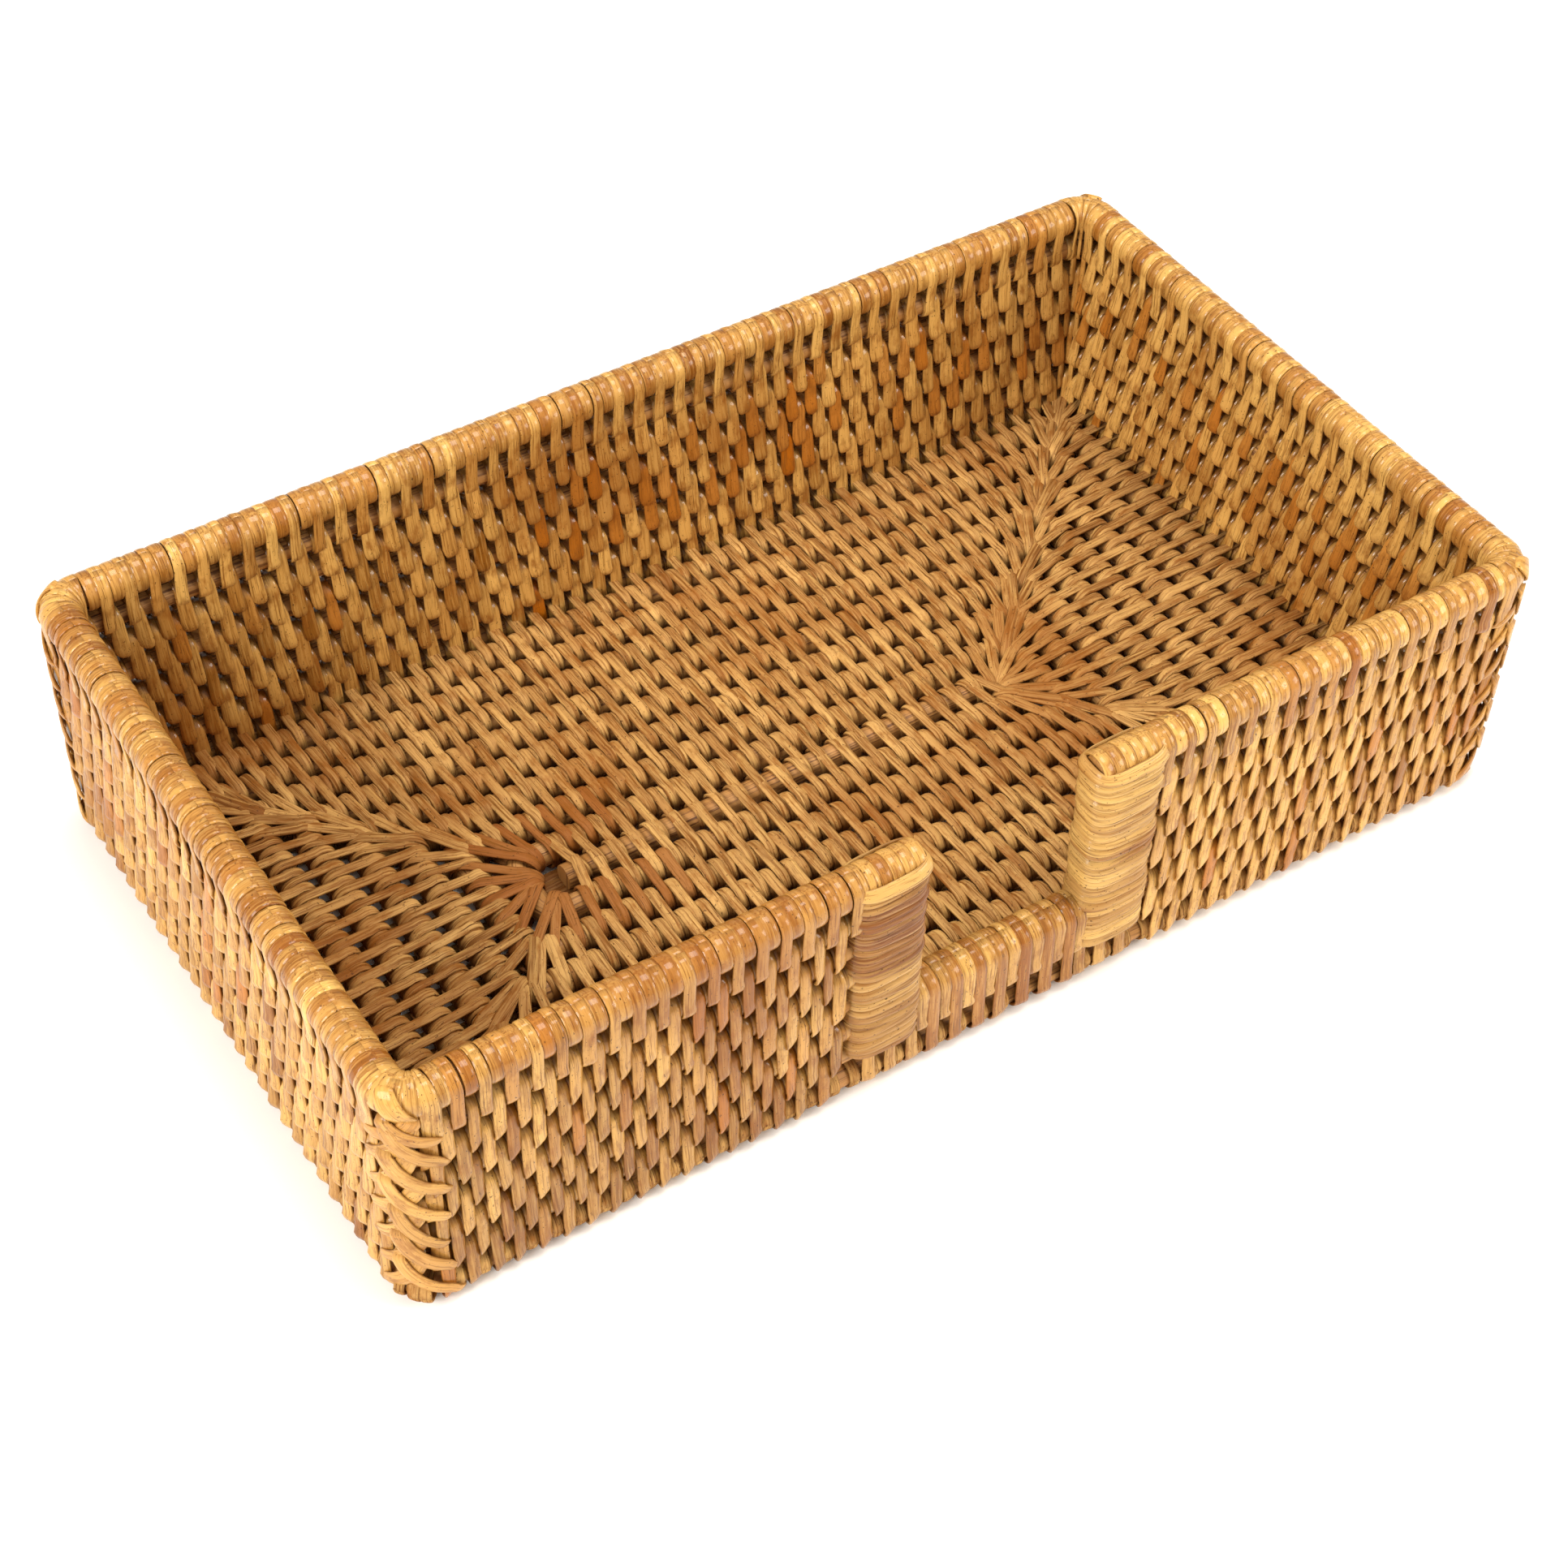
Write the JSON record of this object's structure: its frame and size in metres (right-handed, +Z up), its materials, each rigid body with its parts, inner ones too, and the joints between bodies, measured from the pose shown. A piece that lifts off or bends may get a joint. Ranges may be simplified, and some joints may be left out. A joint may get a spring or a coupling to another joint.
{
  "type": "bread basket",
  "caption": "Shallow rectangular coiled rattan basket with a stitched floor, straight walls, wrapped rim and a finger cut-out in the front wall.",
  "frame": {"origin": "centre of the basket's footprint, on the surface that it stands on", "axes": "+X along the long side, to the right seen from the cut-out; +Y from the front wall with the cut-out to the back wall; +Z up"},
  "size_m": [0.2408, 0.1402, 0.0575],
  "materials": {
    "rattan_rod": "round rattan core, fine lengthwise grooves, thin clear varnish",
    "wall_strip": "flat rattan peel strips, honey to brown, satin varnish",
    "floor_strip": "flat rattan peel strips, drier and greyer, low sheen",
    "rim_strip": "close-wound rattan strips, satin to glossy varnish",
    "post_strip": "close-wound narrow rattan strips, satin varnish",
    "lashing_strip": "curved rattan strips over the corners, satin varnish"
  },
  "bodies": {
    "root": {"corner_lashing_back_left": "lashing_strip", "corner_lashing_back_right": "lashing_strip", "corner_lashing_front_left": "lashing_strip", "corner_lashing_front_right": "lashing_strip", "cutout_frame_rod": "rattan_rod", "floor_coil_rod_1": "rattan_rod", "floor_coil_rod_2": "rattan_rod", "floor_coil_rod_3": "rattan_rod", "floor_weave_back": "floor_strip", "floor_weave_front": "floor_strip", "floor_weave_left": "floor_strip", "floor_weave_right": "floor_strip", "post_binding_left": "post_strip", "post_binding_right": "post_strip", "rim_rod": "rattan_rod", "rim_wrap_back": "rim_strip", "rim_wrap_corner_back_left": "rim_strip", "rim_wrap_corner_back_right": "rim_strip", "rim_wrap_corner_front_left": "rim_strip", "rim_wrap_corner_front_right": "rim_strip", "rim_wrap_front_left": "rim_strip", "rim_wrap_front_right": "rim_strip", "rim_wrap_left": "rim_strip", "rim_wrap_right": "rim_strip", "sill_wrap": "rim_strip", "wall_course_rod_1": "rattan_rod", "wall_course_rod_2": "rattan_rod", "wall_course_rod_3": "rattan_rod", "wall_course_rod_4": "rattan_rod", "wall_course_rod_5": "rattan_rod", "wall_course_rod_6": "rattan_rod", "wall_course_rod_7": "rattan_rod", "weave_back": "wall_strip", "weave_front_base": "wall_strip", "weave_front_left": "wall_strip", "weave_front_right": "wall_strip", "weave_front_sill": "wall_strip", "weave_left": "wall_strip", "weave_right": "wall_strip"}
  },
  "joints": []
}
